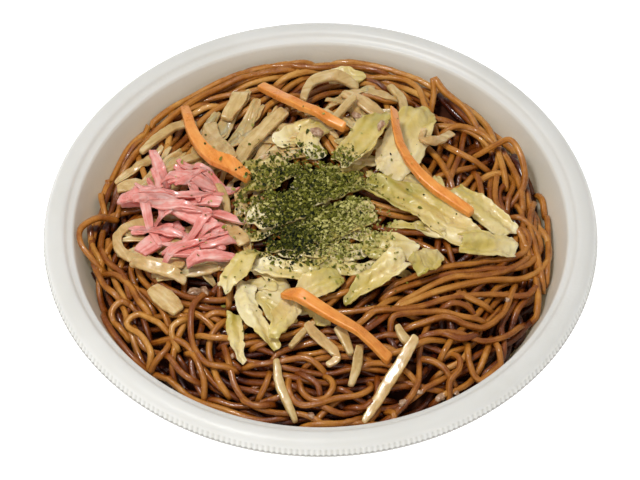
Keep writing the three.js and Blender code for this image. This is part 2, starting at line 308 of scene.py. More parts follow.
def fibre_look(name, colours, fibre, depth, wet, soft, glow=(1, 0.6, 0.3)):
    """A strip of vegetable with fibres along it; colours are the dark, the middle and the light one."""
    look = Look(name, 0.3)
    dark, mid, light = colours
    place = look.coordinates()
    grain = look.attribute("grain").outputs["Vector"]
    fibres = look.noise(look.stretched(grain, fibre), 1.0, 3)
    patches = look.noise(place, 220, 3)
    blend = look.math("ADD", look.math("MULTIPLY", fibres, 0.5), look.math("MULTIPLY", patches, 0.5))
    look.colour(look.ramp(blend, (0.32, dark), (0.5, mid), (0.66, light)))
    height = look.math("ADD", fibres, look.math("MULTIPLY", look.noise(place, 1100, 3), 0.5))
    look.bump(height, depth, 0.6)
    look.roughness(patches, 0.16, 0.42)
    look.soft(soft, glow, 0.002)
    look.wet(wet, 0.1)
    return look.material


def cabbage_look():
    look = Look("cabbage", 0.32)
    place = look.coordinates()
    grain = look.attribute("grain").outputs["Vector"]
    shade = look.attribute("shade").outputs["Fac"]
    waves = look.node("ShaderNodeTexWave", wave_type="BANDS", bands_direction="Y", wave_profile="SIN")
    waves.inputs["Scale"].default_value = 1.0
    waves.inputs["Distortion"].default_value = 5.0
    waves.inputs["Detail"].default_value = 2.0
    waves.inputs["Detail Scale"].default_value = 1.2
    look.link(look.stretched(grain, (60, 110, 60)), waves.inputs["Vector"])
    veins = waves.outputs["Fac"]
    patches = look.noise(place, 130, 4)
    blend = look.math("ADD", look.math("MULTIPLY", patches, 0.7), shade)
    colour = look.ramp(
        blend,
        (0.18, (0.40, 0.33, 0.045)),
        (0.36, (0.62, 0.47, 0.12)),
        (0.54, (0.76, 0.58, 0.23)),
        (0.80, (0.90, 0.78, 0.47)),
    )
    sauce = look.ramp(look.noise(place, 240, 4, 0.65), (0.56, (0, 0, 0)), (0.72, (0.55, 0.55, 0.55)))
    colour = look.mix(sauce, colour, (0.44, 0.22, 0.055))
    colour = look.mix(look.math("MULTIPLY", veins, 0.16), colour, (0.86, 0.80, 0.52))
    look.colour(colour)
    height = look.math("ADD", look.math("MULTIPLY", veins, 0.6), look.noise(place, 700, 4))
    look.bump(height, 0.0003, 0.6)
    look.roughness(patches, 0.24, 0.5)
    look.soft(0.3, (0.9, 0.8, 0.25), 0.0025)
    look.wet(0.14, 0.12)
    return look.material


def laver_look():
    look = Look("laver", 0.7)
    look.shader.inputs["Specular IOR Level"].default_value = 0.2
    tone = look.attribute("tone").outputs["Fac"]
    patches = look.noise(look.coordinates(), 500, 2)
    blend = look.math("ADD", look.math("MULTIPLY", patches, 0.4), tone)
    look.colour(
        look.ramp(
            blend,
            (0.15, (0.006, 0.010, 0.001)),
            (0.42, (0.070, 0.075, 0.004)),
            (0.70, (0.21, 0.20, 0.020)),
            (1.0, (0.55, 0.50, 0.17)),
        )
    )
    look.bump(patches, 0.0002, 0.4)
    return look.material


def meat_look():
    look = Look("meat", 0.35)
    place = look.coordinates()
    patches = look.noise(place, 700, 4)
    stops = ((0.3, (0.20, 0.08, 0.035)), (0.52, (0.46, 0.27, 0.15)), (0.7, (0.66, 0.48, 0.33)))
    look.colour(look.ramp(patches, *stops))
    look.bump(look.noise(place, 1500, 3), 0.0004, 0.7)
    look.wet(0.4, 0.15)
    return look.material


def painted_shade_core_look():
    look = Look("core", 0.9)
    look.shader.inputs["Specular IOR Level"].default_value = 0.1
    patches = look.noise(look.coordinates(), 220, 3)
    # Painted shade: the core is a near black brown, for the shadow in the gaps between the strands.
    look.colour(look.ramp(patches, (0.3, (0.022, 0.006, 0.003)), (0.7, (0.07, 0.02, 0.008))))
    look.bump(patches, 0.0006, 0.6)
    return look.material


# ---------------------------------------------------------------- making pieces


def new_piece(name, vertices, faces, material, smooth=True):
    """A mesh object from points in metres."""
    mesh = bpy.data.meshes.new(name)
    mesh.from_pydata(vertices, [], faces)
    mesh.update()
    if smooth:
        mesh.shade_smooth()
    mesh.materials.append(material)
    piece = bpy.data.objects.new(name, mesh)
    bpy.context.scene.collection.objects.link(piece)
    return piece


def keep_values(piece, name, values):
    """Stores one number for each vertex, for the material to read."""
    store = piece.data.attributes.new(name, "FLOAT", "POINT")
    store.data.foreach_set("value", np.asarray(values, np.float32))


def keep_vectors(piece, name, vectors):
    store = piece.data.attributes.new(name, "FLOAT_VECTOR", "POINT")
    store.data.foreach_set("vector", np.asarray(vectors, np.float32).ravel())


def points_of(mesh):
    flat = np.empty(len(mesh.vertices) * 3, np.float32)
    mesh.vertices.foreach_get("co", flat)
    return flat.reshape(-1, 3).astype(float)


def tree_of(*objects):
    """A search tree over the surfaces of these objects, in metres."""
    vertices, faces = [], []
    for obj in objects:
        start = len(vertices)
        vertices += [v.co.copy() for v in obj.data.vertices]
        faces += [[start + k for k in f.vertices] for f in obj.data.polygons]
    return BVHTree.FromPolygons(vertices, faces)


def headings(line):
    """Unit vectors along a line of points."""
    along = np.gradient(line, axis=0)
    return along / (np.linalg.norm(along, axis=1)[:, None] + 1e-9)


def leftwards(path):
    """Unit vectors to the left of a line of [x, y] points."""
    along = headings(path)
    return np.column_stack([-along[:, 1], along[:, 0]])


def smooth_line(points, spacing):
    """Points at an even spacing on a Catmull-Rom curve through the given rows of numbers."""
    rows = np.asarray(points, float)
    rows = np.vstack([2 * rows[0] - rows[1], rows, 2 * rows[-1] - rows[-2]])
    fine = []
    for p0, p1, p2, p3 in zip(rows, rows[1:], rows[2:], rows[3:]):
        t = np.linspace(0, 1, 24, endpoint=False)[:, None]
        square = 2 * p0 - 5 * p1 + 4 * p2 - p3
        cube = 3 * p1 - p0 - 3 * p2 + p3
        fine.append(0.5 * (2 * p1 + (p2 - p0) * t + square * t**2 + cube * t**3))
    fine = np.vstack([*fine, rows[-2:-1]])
    steps = np.linalg.norm(np.diff(fine, axis=0), axis=1)
    along = np.concatenate([[0], np.cumsum(steps)])
    wanted = np.linspace(0, along[-1], max(4, int(along[-1] / spacing) + 1))
    return np.column_stack([np.interp(wanted, along, fine[:, k]) for k in range(fine.shape[1])])


# ---------------------------------------------------------------- bowl


def wall_points(out, steps):
    """The wall's food side from the floor to the mouth, moved outwards."""
    wall = smooth_line(WALL, 1.0)
    wall = wall[np.linspace(0, len(wall) - 1, steps).astype(int)]
    return wall - out * leftwards(wall)


def wall_radius(z):
    """Radius of the wall's food side at a height."""
    wall = wall_points(0, 60)
    return np.interp(z, wall[:, 1], wall[:, 0])


def add_bowl(material):
    """The bowl as a closed shape of revolution, with ribs cut into its lip."""
    rim = smooth_line(
        [
            (MOUTH_RADIUS, RIM_Z - 2.1),
            (STEP_RADIUS - 0.6, RIM_Z - 1.75),
            (STEP_RADIUS + 0.3, RIM_Z - 1.25),
            (STEP_RADIUS + 1.1, RIM_Z - 0.35),
            (FLANGE_RADIUS + 0.3, RIM_Z),
            (FLANGE_RADIUS + 2.6, RIM_Z - 0.25),
            (FLANGE_RADIUS + 4.2, RIM_Z - 1.1),
            (FLANGE_RADIUS + 4.9, RIM_Z - 2.0),
            (LIP_RADIUS - 0.75, RIM_Z - 2.5),
            (LIP_RADIUS - 0.15, RIM_Z - 4.3),
        ],
        0.45,
    )
    under = [
        (LIP_RADIUS - 0.2, RIM_Z - 4.9),
        (LIP_RADIUS - 1.2, RIM_Z - 5.0),
        (LIP_RADIUS - 2.6, RIM_Z - 3.1),
        (FLANGE_RADIUS + 0.3, RIM_Z - 2.0),
        (STEP_RADIUS + 0.4, RIM_Z - 3.8),
    ]
    outside = wall_points(FOAM, 10)[::-1]
    outside[-1][1] = 0
    floor, base = [(0, FOAM), (30, FOAM)], [(30, 0), (0, 0)]
    profile = np.vstack([floor, wall_points(0, 20), rim, under, outside, base])
    turns = 4 * FLUTES
    angle = 2 * np.pi * np.arange(turns) / turns
    ridge = np.cos(FLUTES * angle)
    vertices, painted_shades, bounce_and_stains = [], [], []
    inner = len(wall_points(0, 20)) + 2
    for row, (radius, z) in enumerate(profile[1:-1]):
        # Painted warm bounce light from the noodles, with a little sauce tint: the inside of the wall is
        # browner, most of all low down.
        bounce_and_stains.append(np.full(turns, 0.7 * np.clip((RIM_Z + 2 - z) / 12, 0, 1) * (row < inner)))
        on_lip = np.clip((radius - LIP_RADIUS + 1.25) / 0.5, 0, 1)
        on_lip *= np.clip((RIM_Z - 1.9 - z) / 0.5, 0, 1) * np.clip((z - RIM_Z + 5) / 0.4, 0, 1)
        r = radius + 0.2 * on_lip * (ridge - 1)
        # Painted shade: darker in the grooves between the lip's ribs, and a painted shadow under the lip.
        under_lip = radius > LIP_RADIUS - 1.5 and z < RIM_Z - 4.2
        painted_shades.append(np.clip(0.16 * on_lip * (1 - ridge) + 0.8 * under_lip, 0, 1) * np.ones(turns))
        vertices.append(np.column_stack([r * np.cos(angle), r * np.sin(angle), np.full(turns, z)]))
    vertices = np.vstack([*vertices, [(0, 0, FOAM), (0, 0, 0)]]) * MM
    rings = len(profile) - 2
    top, bottom = rings * turns, rings * turns + 1
    faces = []
    for k in range(turns):
        after = (k + 1) % turns
        faces.append((top, k, after))
        faces.append((bottom, (rings - 1) * turns + after, (rings - 1) * turns + k))
        for ring in range(rings - 1):
            a, b = ring * turns + k, ring * turns + after
            faces.append((a, a + turns, b + turns, b))
    piece = new_piece("bowl_foam", vertices, faces, material)
    keep_values(piece, "shade", np.concatenate([*painted_shades, [0, 0]]))
    keep_values(piece, "bounce_and_stain", np.concatenate([*bounce_and_stains, [0, 0]]))
    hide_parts("bowl")
    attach(piece, "root")
    return piece


# ---------------------------------------------------------------- noodles


class Heap:
    """The noodles laid so far, as the height of their top on a fine grid, in millimetres."""

    def __init__(self):
        self.half = int(82 / CELL)
        size = 2 * self.half + 1
        self.target = np.full((size, size), -1.0)
        self.room = np.full((size, size), 1.5)
        below = tree_of(NODES["noodles"])
        toppings = tree_of(*[o for n, o in NODES.items() if n not in ("bowl", "noodles")])
        for j in range(0, size, 2):
            for i in range(0, size, 2):
                x, y = (i - self.half) * CELL * MM, (j - self.half) * CELL * MM
                if math.hypot(x, y) > 0.0795:
                    continue
                hit = below.ray_cast(Vector((x, y, SKY)), Vector((0, 0, -1)))[0]
                if hit:
                    self.target[j : j + 2, i : i + 2] = hit.z / MM
                    cover = toppings.ray_cast(Vector((x, y, hit.z)), Vector((0, 0, 1)))[0]
                    if cover:
                        self.room[j : j + 2, i : i + 2] = min(1.0, (cover.z - hit.z) / MM - 0.3)
        x, y = np.meshgrid(*[(np.arange(size) - self.half) * CELL] * 2)
        wall = wall_points(0, 60)
        wall_height = np.interp(np.hypot(x, y), wall[:, 0], wall[:, 1])
        self.ground = np.maximum(self.target - CORE_DEPTH, wall_height)

    def cells(self, x, y):
        i = np.clip((x / CELL).round().astype(int) + self.half, 0, 2 * self.half)
        j = np.clip((y / CELL).round().astype(int) + self.half, 0, 2 * self.half)
        return j, i

    def rest(self, path):
        """Heights of the middle of a strand that lies along [x, y] rows."""
        side = leftwards(path)
        need = np.full(len(path), -99.0)
        half = STRAND / 2
        for offset in (-0.9 * half, -0.5 * half, 0, 0.5 * half, 0.9 * half):
            p = path + side * offset
            reach = 0.85 * math.sqrt(half**2 - offset**2)
            need = np.maximum(need, self.ground[self.cells(p[:, 0], p[:, 1])] + reach)
        wide = np.array([need[max(0, k - 2) : k + 3].max() for k in range(len(need))])
        kernel = np.exp(-0.5 * (np.arange(-8, 9) / 3.2) ** 2)
        kernel /= kernel.sum()
        smooth = np.convolve(np.pad(wide, 8, "edge"), kernel, "valid")
        return np.maximum(smooth, need - 0.5)

    def raise_to(self, path, z):
        """Adds a strand, so that the next ones lie on it."""
        heading = headings(path)
        side = leftwards(path)
        half = STRAND / 2
        for shift in (0, 0.45, 0.9):
            for offset in np.linspace(-half, half, 9):
                p = path + side * offset + heading * shift
                top = z + math.sqrt(max(0.05, half**2 - offset**2 * 0.85))
                np.maximum.at(self.ground, self.cells(p[:, 0], p[:, 1]), top)

    def spare(self, path, z):
        """How far the strand's top is under the surface that the heap should have."""
        at = self.cells(path[:, 0], path[:, 1])
        return self.target[at] - (z + STRAND / 2), self.room[at]


def wandering_path(rng, start, heading, length, curl):
    """A strand that bends this way and that, and turns back before the wall."""
    waves = [(curl * rng.uniform(0.02, 0.055), rng.uniform(45, 110) / curl, rng.uniform(0, 6.3))]
    waves.append((curl * rng.uniform(0.01, 0.06), rng.uniform(18, 40), rng.uniform(0, 6.3)))
    x, y = start
    rows = []
    for step in range(int(length)):
        bend = sum(size * math.sin(2 * math.pi * step / wave + phase) for size, wave, phase in waves)
        radius = math.hypot(x, y)
        if radius > 62:
            outward = math.cos(heading) * x / radius + math.sin(heading) * y / radius
            swing = math.copysign(1, x * math.sin(heading) - y * math.cos(heading))
            bend += swing * max(0, outward + 0.1) * (radius - 60) / 55
        heading += bend
        x += math.cos(heading)
        y += math.sin(heading)
        radius = math.hypot(x, y)
        if radius > STRAND_REACH:
            x, y = x * STRAND_REACH / radius, y * STRAND_REACH / radius
        rows.append((x, y))
    return np.array(rows)


def inside_wall(path, z):
    """Moves a strand in from the bowl's wall."""
    limit = wall_radius(z) - 0.6 * STRAND
    radius = np.hypot(path[:, 0], path[:, 1])
    return path * np.minimum(1, limit / np.maximum(radius, 1))[:, None]


def dive(path, z, depth=3.2, run=6.0):
    """Lets both ends of a strand go down among the others."""
    s = np.arange(len(path)) * STEP
    near_end = np.clip(1 - np.minimum(s, s[::-1]) / run, 0, 1)
    return z - depth * near_end**2


def beside(rng, path, gap):
    """A strand alongside another one."""
    side = leftwards(path)
    s = np.arange(len(path))
    sway = gap * (1 + 0.15 * np.sin(s / rng.uniform(9, 20) + rng.uniform(0, 6.3)))
    moved = path + side * sway[:, None]
    radius = np.hypot(moved[:, 0], moved[:, 1])
    moved *= np.minimum(1, STRAND_REACH / np.maximum(radius, 1))[:, None]
    # Even the spacing again, as the inside of a bend gets crowded.
    return smooth_line(moved[::4], STEP) if len(moved) > 12 else moved


# Strands that can be told apart on top, as [x, y] in millimetres.
FAR_RIM = [
    [(-72, 23), (-65, 39), (-52, 54), (-37, 64), (-20, 71), (-1, 74)],
    [(-67, 26), (-56, 43), (-40, 59), (-24, 67), (-7, 70)],
    [(-28, 70), (-14, 72), (0, 70), (12, 72), (24, 69)],
    [(2, 74), (16, 73), (30, 68), (43, 60)],
    [(39, 41), (49, 44), (59, 36), (65, 22), (66, 9)],
    [(43, 60), (53, 51), (58, 36), (61, 20)],
]
RIGHT_SIDE = [
    [(58, 26), (57, 14), (60, 6), (65, -1), (68, -10)],
    [(73, 24), (74, 13), (74, -2), (73, -16)],
    [(70, 18), (68, 5), (70, -6), (72, -19)],
    [(69, -13), (70, -23), (69, -32)],
    [(22, -36), (28, -31), (37, -25), (44, -22), (53, -20), (63, -14), (69, -6)],
    [(22, -43), (24, -38), (37, -35), (45, -36), (54, -36)],
    [(25, -41), (36, -38), (40, -37), (48, -39), (53, -38), (58, -33), (60, -29), (63, -19)],
    [(40, -33), (42, -30), (45, -28), (48, -29), (55, -31)],
    [(37, -34), (42, -32), (47, -32), (50, -34)],
]
RIGHT_BUNDLE = [
    [(19, -28), (35, -20), (51, -15), (62, -11), (67, -5), (67, 0), (63, 4)],
    [(19, -31), (35, -23), (51, -18), (64, -14), (70, -7), (71, 0), (66, 6), (60, 8)],
    [(22, -36), (37, -28), (52, -22), (66, -17), (73, -9), (74, 0), (70, 8)],
    [(14, -37), (28, -35), (41, -30), (54, -26), (66, -24), (71, -16)],
    [(30, -44), (42, -42), (52, -43), (60, -39), (66, -31)],
]
NEAR_RIGHT = [
    [(47, -43), (47, -50), (49, -55), (53, -56), (57, -51), (57, -46), (55, -40)],
    [(36, -41), (40, -43), (45, -44), (49, -42), (50, -39)],
    [(41, -47), (44, -50), (44, -54), (41, -58), (41, -63)],
    [(30, -50), (36, -52), (39, -54), (43, -58)],
    [(20, -53), (26, -55), (31, -59)],
    [(7, -67), (12, -69), (16, -67), (18, -64), (18, -61), (18, -56)],
    [(20, -67), (23, -69), (22, -72), (13, -73), (4, -73)],
]
NEAR = [
    [(-25, -54), (-19, -55), (-12, -54), (-6, -53), (-3, -54), (2, -57)],
    [(10, -56), (19, -54), (26, -56)],
    [(-10, -58), (-10, -64), (-7, -68), (-1, -68), (5, -66), (12, -65), (16, -62), (15, -58)],
    [(-7, -58), (-6, -64), (-2, -67), (2, -66), (4, -62), (1, -57)],
    [(-8, -56), (-5, -59), (-1, -62), (0, -66)],
    [(-25, -62), (-24, -66), (-19, -68), (-14, -66)],
    [(-16, -56), (-17, -61), (-20, -65)],
    [(-7, -73), (-1, -74), (9, -73), (14, -70)],
]
NEAR_LEFT = [
    [(-56, -52), (-52, -49), (-49, -46), (-48, -42)],
    [(-34, -26), (-38, -29), (-41, -34), (-41, -44), (-38, -51), (-34, -54), (-26, -55)],
    [(-45, -46), (-47, -43), (-47, -39), (-42, -36)],
    [(-43, -47), (-40, -50), (-37, -58), (-37, -63)],
    [(-26, -35), (-34, -35), (-38, -37)],
    [(-26, -45), (-34, -45), (-40, -42)],
    [(-48, -40), (-56, -33), (-59, -32), (-62, -35), (-57, -40), (-54, -46), (-55, -50)],
    [(-60, -27), (-64, -26), (-67, -29), (-66, -33), (-61, -39)],
    [(-71, -26), (-70, -32), (-66, -40), (-61, -46), (-55, -50)],
    [(-59, -21), (-56, -25), (-52, -30), (-48, -38)],
]
LEFT_SIDE = [
    [(-71, -13), (-65, -17), (-61, -22), (-58, -28), (-54, -33)],
    [(-74, 4), (-74, -7), (-70, -18), (-64, -25)],
    [(-73, 16), (-75, 9), (-74, -2), (-70, -11)],
    [(-69, 31), (-72, 22), (-70, 11)],
    [(-72, -1), (-69, -10), (-64, -16), (-61, -25)],
]
# Loops that stand clear, as [x, y, height over the rim], the same ones as in the CAD model.
LOOSE_LOOPS = [
    [(50, 33, -6), (58, 34, 0), (62.5, 33.5, 2.5), (66, 27, 0.5), (66.5, 20, -4), (61, 13, -9)],
    [(36, 50, -8), (37.5, 56, -1), (37.5, 60, 3), (41, 56, 1), (49, 49, -2), (55, 38, -8)],
    [(-66, 8, -8), (-72, 6, -4), (-77.5, 1, -3), (-77.5, -5, -3.5), (-73.5, -10, -6), (-68, -13, -12)],
]


def fill_heap(heap, rng, tries, batch, level, least, curl):
    """Lays strands where the heap is lowest, until it is nearly full or the tries are used up."""
    laid = []
    inside = np.argwhere(heap.target > 0)
    for attempt in range(tries):
        reach = 75 - 55 * attempt / tries
        lack = heap.target - heap.ground
        picks = inside[[rng.randrange(len(inside)) for _ in range(40)]]
        picks = sorted(picks, key=lambda c: -lack[c[0], c[1]])[:batch]
        best = None
        for j, i in picks:
            x, y = (i - heap.half) * CELL, (j - heap.half) * CELL
            around = math.atan2(y, x) + math.pi / 2
            outer = min(1, math.hypot(x, y) / 75) ** 2
            heading = around + rng.choice((0, math.pi)) + rng.gauss(0, 1) * (1.5 - 0.9 * outer)
            if laid and rng.random() < 0.4:
                near = min(laid, key=lambda one: np.min(np.hypot(*(one[0] - (x, y)).T)))
                path = beside(rng, near[0], rng.choice((-1, 1)) * rng.uniform(2.3, 2.9))
            else:
                halves = [
                    wandering_path(rng, (x, y), way, reach * rng.uniform(0.3, 1), curl)
                    for way in (heading, heading + math.pi)
                ]
                path = np.vstack([halves[1][::-1], halves[0]])
                path = smooth_line(path[::5], STEP)
            z = heap.rest(path)
            spare, room = heap.spare(path, z)
            over = np.maximum(0, -spare - room)
            score = np.mean(np.clip(spare, -1, 4)) - 3 * np.mean(over)
            if np.max(over) < level and (best is None or score > best[0]):
                best = (score, path, z - np.minimum(over, 1.6))
        if best and best[0] > least:
            _, path, z = best
            z = dive(path, z)
            path = inside_wall(path, z)
            heap.raise_to(path, z)
            laid.append((path, z))
    return laid


def lay_hero(heap, rows, lift=1.3):
    """Lays one of the strands that have a route of their own."""
    path = smooth_line(rows, STEP)
    z = heap.rest(path)
    spare, room = heap.spare(path, z)
    # Sinks into the heap where it would stand above the room there is.
    z = z - np.clip(-spare - np.minimum(room + lift, 2.4), 0, 2.2)
    z = dive(path, z)
    path = inside_wall(path, z)
    heap.raise_to(path, z)
    return path, z


def strand_mesh(rng, lines, name, material, heap):
    """One mesh of square-cut strands along lines of [x, y, z] points, in millimetres."""
    turn = 2 * np.pi * np.arange(STRAND_SIDES) / STRAND_SIDES
    corner = np.column_stack([np.cos(turn), np.sin(turn)])
    shape = np.sign(corner) * np.abs(corner) ** 0.62  # between a circle and a square
    vertices, faces, runs, tones = [], [], [], []
    start = 0
    for line in lines:
        count = len(line)
        along = headings(line)
        side = np.column_stack([-along[:, 1], along[:, 0], np.zeros(count)])
        side /= np.linalg.norm(side, axis=1)[:, None] + 1e-9
        up = np.cross(along, side)
        s = np.arange(count) * STEP
        twist = rng.uniform(0, 1.6) + 0.5 * np.sin(s / rng.uniform(14, 30) + rng.uniform(0, 6.3))
        width = STRAND / 2 * (1 + 0.05 * np.sin(s / rng.uniform(5, 11) + rng.uniform(0, 6.3)))
        width[[0, -1]] *= 0.82
        own_tone = rng.gauss(0, 0.07)
        far = rng.uniform(0, 50)
        for k in range(STRAND_SIDES):
            u, v = shape[k]
            across = u * np.cos(twist) - v * np.sin(twist)
            over = u * np.sin(twist) + v * np.cos(twist)
            p = line + side * (across * width)[:, None] + up * (over * width * 0.96)[:, None]
            vertices.append(p)
        ring = np.arange(STRAND_SIDES) * count + start
        after = np.roll(ring, -1)
        for k in range(count - 1):
            faces += [(a + k, b + k, b + k + 1, a + k + 1) for a, b in zip(ring, after)]
        faces.append(tuple(int(v) for v in ring[::-1]))
        faces.append(tuple(int(v) + count - 1 for v in ring))
        # Painted shade: the deeper a strand lies under the heap's surface, the darker its tone.
        surface = heap.target[heap.cells(line[:, 0], line[:, 1])]
        depth = np.clip(surface - line[:, 2] - STRAND / 2, 0, 6)
        sauce = 0.05 * np.sin(s / 13.0 + far)
        far_side = 0.10 * np.clip(line[:, 1] / 70, 0, 1)
        for k in range(STRAND_SIDES):
            tones.append(own_tone + sauce + far_side - 0.10 * depth + 0.035)
            across = np.full(count, shape[k][0] * 1.5 * MM)
            runs.append(np.column_stack([s * MM, across, np.full(count, far + 1.1 * k * MM)]))
        start += count * STRAND_SIDES
    piece = new_piece(name, np.vstack(vertices) * MM, faces, material)
    keep_values(piece, "tone", np.concatenate(tones))
    keep_vectors(piece, "run", np.vstack(runs))
    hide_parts("noodles")
    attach(piece, "root")
    return piece


def add_core(heap, material):
    """The mass of noodles that never shows, a closed body under the strands."""
    rings, turns = 16, 96
    edge = 75.2
    angle = 2 * np.pi * np.arange(turns) / turns
    vertices = []
    for radius in np.linspace(0, edge, rings + 1):
        x, y = radius * np.cos(angle), radius * np.sin(angle)
        top = np.maximum(heap.target[heap.cells(0.985 * x, 0.985 * y)], 20) - CORE_DEPTH + 1.2
        inwards = np.minimum(1, (wall_radius(top) - 0.5) / edge)
        vertices += list(zip(x * inwards, y * inwards, top))
    wall = wall_points(-0.9, 8)
    for radius, z in wall[::-1]:
        if z < 17:
            vertices += list(zip(radius * np.cos(angle), radius * np.sin(angle), np.full(turns, z)))
    rows = len(vertices) // turns
    faces = []
    for row in range(rows - 1):
        for k in range(turns):
            a, b = row * turns + k, row * turns + (k + 1) % turns
            faces.append((a, a + turns, b + turns, b))
    faces.append(tuple((rows - 1) * turns + k for k in range(turns))[::-1])
    piece = new_piece("noodle_core", np.array(vertices) * MM, faces, material)
    weld = bmesh.new()
    weld.from_mesh(piece.data)
    bmesh.ops.remove_doubles(weld, verts=weld.verts, dist=1e-6)
    bmesh.ops.recalc_face_normals(weld, faces=weld.faces)
    weld.to_mesh(piece.data)
    weld.free()
    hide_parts("noodles")
    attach(piece, "root")
    return piece


def add_noodles(look, core):
    rng = random.Random(7)
    heap = Heap()
    low = fill_heap(heap, rng, 1700, 4, 2.8, 0.4, 1.0)
    top = fill_heap(heap, rng, 2050, 5, 2.4, -0.5, 1.7)
    heroes = [lay_hero(heap, rows) for rows in FAR_RIM + RIGHT_BUNDLE + RIGHT_SIDE + NEAR_RIGHT]
    heroes += [lay_hero(heap, rows) for rows in NEAR + NEAR_LEFT + LEFT_SIDE]
    loops = [smooth_line([(x, y, RIM_Z + z) for x, y, z in rows], STEP) for rows in LOOSE_LOOPS]
    for name, laid, more in (("under", low, []), ("upper", top, []), ("top", heroes, loops)):
        lines = [np.column_stack([path, z]) for path, z in laid]
        strand_mesh(rng, lines + more, "noodles_" + name, look, heap)
    return add_core(heap, core)


# ---------------------------------------------------------------- toppings

# For each kind: slot, levels of plain and of rounding subdivision, and the size of the crinkles and
# of the ragged edge in millimetres.
KINDS = {
    "carrot": ("carrot", 2, 1, 0.08, 0.10),
    "ginger": ("ginger", 2, 1, 0.35, 0.45),
    "onion": ("onion", 1, 2, 0.30, 0.35),
    "sprout": ("sprout", 1, 2, 0.16, 0.25),
    "stalk": ("cabbage_stalk", 1, 2, 0.35, 0.45),
    "cabbage": ("cabbage", 1, 2, 0.95, 1.0),
}


def subdivide(piece, plain, rounding):
    """Rounds a piece off, keeping close to its outline."""
    coarse = piece.data
    for kind, count in (("SIMPLE", plain), ("CATMULL_CLARK", rounding)):
        modifier = piece.modifiers.new(kind, "SUBSURF")
        modifier.subdivision_type = kind
        modifier.levels = modifier.render_levels = count
    depsgraph = bpy.context.evaluated_depsgraph_get()
    fine = bpy.data.meshes.new_from_object(piece.evaluated_get(depsgraph))
    piece.modifiers.clear()
    piece.data = fine
    bpy.data.meshes.remove(coarse)


def crinkle(points, height, ragged, seed):
    """Moves points, in millimetres, by noise that is the same on both sides of a thin sheet."""
    for p in points:
        at = Vector(p)
        wide = noise.noise_vector(at * 0.16 + seed)
        fine = noise.noise_vector(at * 0.55 + seed)
        small = noise.noise(at * 0.9 - seed)
        p[0] += ragged * (0.9 * wide.x + 0.6 * fine.x)
        p[1] += ragged * (0.9 * wide.y + 0.6 * fine.y)
        p[2] += height * (wide.z + 0.3 * fine.z + 0.12 * small)


def smooth_copy(node, plain, rounding):
    """A quad-faced, subdivided copy of a CAD node's mesh."""
    work = bmesh.new()
    work.from_mesh(NODES[node].data)
    bmesh.ops.remove_doubles(work, verts=work.verts, dist=1e-6)
    limits = {"angle_face_threshold": math.radians(50), "angle_shape_threshold": math.radians(60)}
    bmesh.ops.join_triangles(work, faces=work.faces, **limits)
    mesh = bpy.data.meshes.new(node + "_food")
    work.to_mesh(mesh)
    work.free()
    piece = bpy.data.objects.new(node + "_food", mesh)
    bpy.context.scene.collection.objects.link(piece)
    subdivide(piece, plain, rounding)
    return piece


def add_topping(node, looks, index):
    """Takes the place of one CAD topping with a rounder, crinkled copy."""
    kind = node.rsplit("_", 1)[0]
    slot, plain, rounding, height, ragged = KINDS[kind]
    piece = smooth_copy(node, plain, rounding)
    mesh = piece.data
    points = points_of(mesh) / MM
    middle = points.mean(axis=0)
    flat = points[:, :2] - middle[:2]
    _, axes = np.linalg.eigh(flat.T @ flat)
    grain = np.column_stack([flat @ axes[:, 1], flat @ axes[:, 0], points[:, 2] - middle[2]])
    seed = Vector((index * 17.3, index * 5.1, 0))
    crinkle(points, height, ragged, seed)
    if kind == "cabbage":
        pleat = 2 * np.pi * grain[:, 1] / (5 + index % 3) + 0.12 * grain[:, 0] + index
        points[:, 2] += 0.55 * np.sin(pleat)
    elif kind != "carrot":
        for p in points:
            p[:2] += 1.3 * np.array(noise.noise_vector(Vector(p) * 0.06 + seed))[:2]
    mesh.vertices.foreach_set("co", (points * MM).astype(np.float32).ravel())
    mesh.update()
    mesh.shade_smooth()
    mesh.materials.clear()
    mesh.materials.append(looks[slot])
    keep_vectors(piece, "grain", grain * MM)
    own = random.Random(index)
    fade = own.choice((-1, 1)) * 0.22 * grain[:, 0] / np.abs(grain[:, 0]).max()
    keep_values(piece, "shade", own.uniform(-0.02, 0.26) + fade)
    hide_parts(node)
    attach(piece, "root")
    return piece


# ---------------------------------------------------------------- shreds

# Shreds between and under the toppings. For each kind: slot, width, length and thickness in
# millimetres, and patches of x, y, spread in x, spread in y, heading and its spread in degrees, number.
SHREDS = {
    "onion_shreds": (
        "onion",
        (2.0, 3.6),
        (14, 26),
        0.8,
        [
            (-52, -6, 8, 4, -8, 18, 9),
            (-40, -16, 8, 4, -12, 15, 8),
            (-56, 24, 6, 6, 48, 20, 7),
            (-40, 24, 9, 8, 55, 30, 13),
            (-25, 40, 11, 9, 62, 25, 15),
            (-30, 6, 5, 10, 80, 35, 9),
            (2, 44, 12, 7, 20, 40, 8),
            (14, 52, 10, 6, -30, 40, 6),
            (-14, 26, 8, 6, 60, 40, 7),
        ],
    ),
    "cabbage_shreds": (
        "cabbage",
        (3.0, 6.0),
        (10, 22),
        0.6,
        [
            (-7, 6, 9, 9, 20, 90, 20),
            (8, -8, 9, 7, 10, 60, 10),
            (-14, -20, 9, 5, -20, 40, 7),
            (28, 20, 8, 8, -30, 30, 6),
            (40, 2, 9, 5, -28, 25, 8),
            (14, 30, 10, 6, 20, 50, 6),
            (12, -20, 12, 4, 5, 30, 6),
            (-10, -34, 9, 4, -60, 40, 4),
        ],
    ),
    "ginger_shreds": (
        "ginger",
        (1.8, 3.6),
        (13, 24),
        0.8,
        [
            (-50, 4, 6, 5, -14, 22, 11),
            (-41, 16, 5, 5, -30, 40, 8),
            (-38, -8, 6, 4, 8, 20, 9),
            (-52, 14, 3, 6, 100, 25, 4),
        ],
    ),
}


